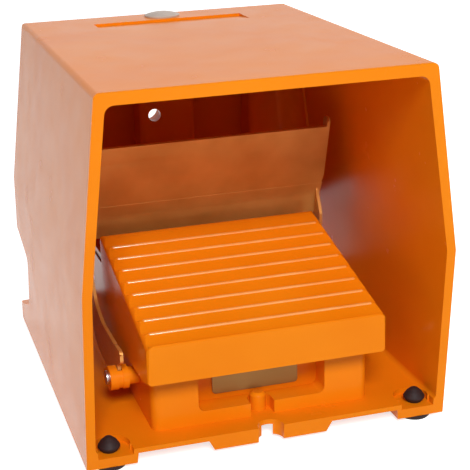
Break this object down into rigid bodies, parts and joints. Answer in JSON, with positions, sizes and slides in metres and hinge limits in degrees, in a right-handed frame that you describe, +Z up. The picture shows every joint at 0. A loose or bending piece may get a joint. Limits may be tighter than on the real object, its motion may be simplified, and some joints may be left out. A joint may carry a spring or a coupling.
{
  "type": "foot switch",
  "caption": "Industrial foot switch: a ribbed pedal on a die-cast switch body inside a protective hood, with a toe-operated safety flap.",
  "frame": {"origin": "ground plane under the centre of the footprint", "axes": "+Z up, +Y from the open front to the closed back, +X to the user's right"},
  "size_m": [0.16, 0.19, 0.1623],
  "materials": {
    "orange_paint": "smooth gloss powder coat on a die casting",
    "yellow_zinc_steel": "yellow-passivated zinc plate, satin",
    "black_rubber": "matt",
    "grey_plastic": "satin",
    "bare_plate": "satin, bare",
    "white_plastic": "matt",
    "brass": "bright",
    "red_plastic": "gloss",
    "black_plastic": "satin",
    "spring_steel": "drawn wire",
    "zinc_steel": "zinc plated"
  },
  "bodies": {
    "base": {"hood": "orange_paint", "roof_plug": "grey_plastic", "foot_front_left": "black_rubber", "foot_front_right": "black_rubber", "foot_rear_left": "black_rubber", "foot_rear_right": "black_rubber", "switch_body": "orange_paint", "nameplate": "bare_plate", "front_gasket": "black_rubber", "front_cover": "orange_paint", "rear_gasket": "black_rubber", "rear_cover": "orange_paint", "front_cover_screw_1": "zinc_steel", "front_cover_screw_2": "zinc_steel", "front_cover_screw_3": "zinc_steel", "front_cover_screw_4": "zinc_steel", "rear_cover_screw_1": "zinc_steel", "rear_cover_screw_2": "zinc_steel", "rear_cover_screw_3": "zinc_steel", "rear_cover_screw_4": "zinc_steel", "base_screw_1": "zinc_steel", "base_screw_2": "zinc_steel", "base_screw_3": "zinc_steel", "base_screw_4": "zinc_steel", "contact_block_left": "white_plastic", "contact_block_right": "white_plastic", "terminals_left": "brass", "terminals_right": "brass", "earth_screw": "brass", "entry_plug": "black_plastic", "pedal_pin": "zinc_steel", "pedal_spring_left": "spring_steel", "pedal_spring_right": "spring_steel", "flap_pin_left": "zinc_steel", "flap_pin_right": "zinc_steel", "flap_spring_left": "spring_steel", "flap_spring_right": "spring_steel"},
    "pedal": {"pedal": "orange_paint"},
    "flap": {"safety_flap": "yellow_zinc_steel"},
    "plunger_left": {"plunger_left": "red_plastic"},
    "plunger_right": {"plunger_right": "red_plastic"}
  },
  "joints": [
    {"name": "pedal_hinge", "type": "hinge", "parent": "base", "child": "pedal", "pos_m": [0, -0.07, 0.041], "axis": [-1, 0, 0], "range_deg": [0, 8], "stiffness_Nm_per_rad": 4, "springref_deg": -11.46, "deforming": ["pedal_spring_left", "pedal_spring_right"]},
    {"name": "flap_hinge", "type": "hinge", "parent": "base", "child": "flap", "pos_m": [0, -0.0472, 0.0246], "axis": [-1, 0, 0], "range_deg": [0, 6], "stiffness_Nm_per_rad": 1.5, "springref_deg": -11.46, "deforming": ["flap_spring_left", "flap_spring_right"]},
    {"name": "plunger_left_slide", "type": "slide", "parent": "base", "child": "plunger_left", "axis": [0, 0, -1], "range_m": [0, 0.0045]},
    {"name": "plunger_right_slide", "type": "slide", "parent": "base", "child": "plunger_right", "axis": [0, 0, -1], "range_m": [0, 0.0045]}
  ],
  "couplings": [
    {"joint": "plunger_left_slide", "follows": "pedal_hinge", "m_per_rad": 0.0315},
    {"joint": "plunger_right_slide", "follows": "pedal_hinge", "m_per_rad": 0.0315}
  ]
}
